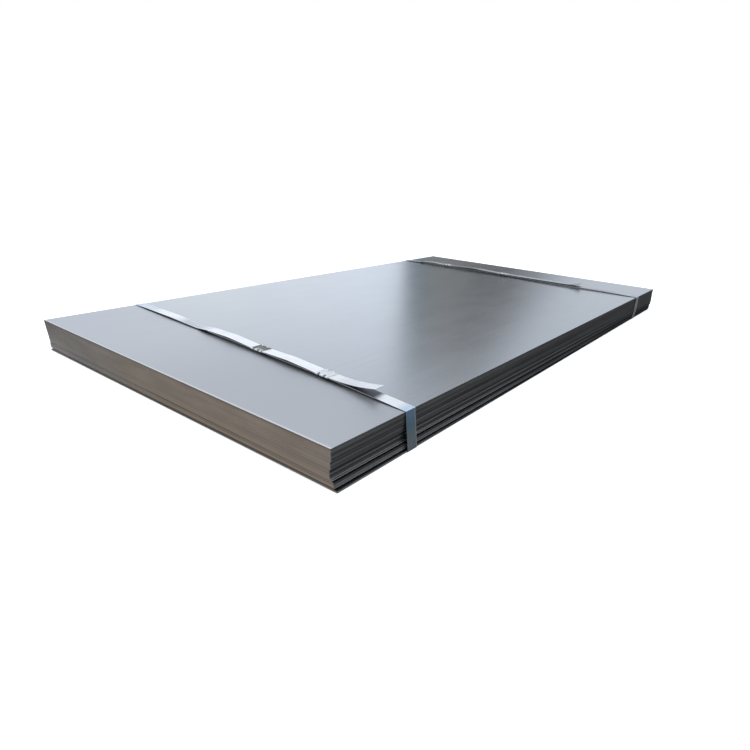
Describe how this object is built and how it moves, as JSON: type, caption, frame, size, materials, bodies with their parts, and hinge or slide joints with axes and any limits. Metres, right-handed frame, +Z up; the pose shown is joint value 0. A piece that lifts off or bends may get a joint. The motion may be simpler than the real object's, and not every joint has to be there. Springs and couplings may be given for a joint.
{
  "type": "strapped bundle of steel sheets",
  "caption": "Flat rectangular stack of thin cold rolled steel sheets, slightly shoved against each other, bound by flat steel straps with crimped seals and a lifted strap tail.",
  "frame": {"origin": "middle of the bundle's outline on the floor, under the straps", "axes": "+X across the sheets from left to right, +Y along the sheets from the front strap to the back strap, +Z up"},
  "size_m": [1.215, 2.0086, 0.1143],
  "materials": {
    "sheet_steel": "bright cold rolled, lightly oiled",
    "strap_steel": "zinc coated",
    "seal_steel": "zinc coated, dull"
  },
  "bodies": {
    "root": {"bottom_sheets": "sheet_steel", "lower_sheets": "sheet_steel", "middle_sheets": "sheet_steel", "upper_sheets": "sheet_steel", "top_sheet": "sheet_steel", "front_strap": "strap_steel", "front_seal_1": "seal_steel", "front_seal_2": "seal_steel", "back_strap": "strap_steel", "back_seal_1": "seal_steel", "back_seal_2": "seal_steel"}
  },
  "joints": []
}
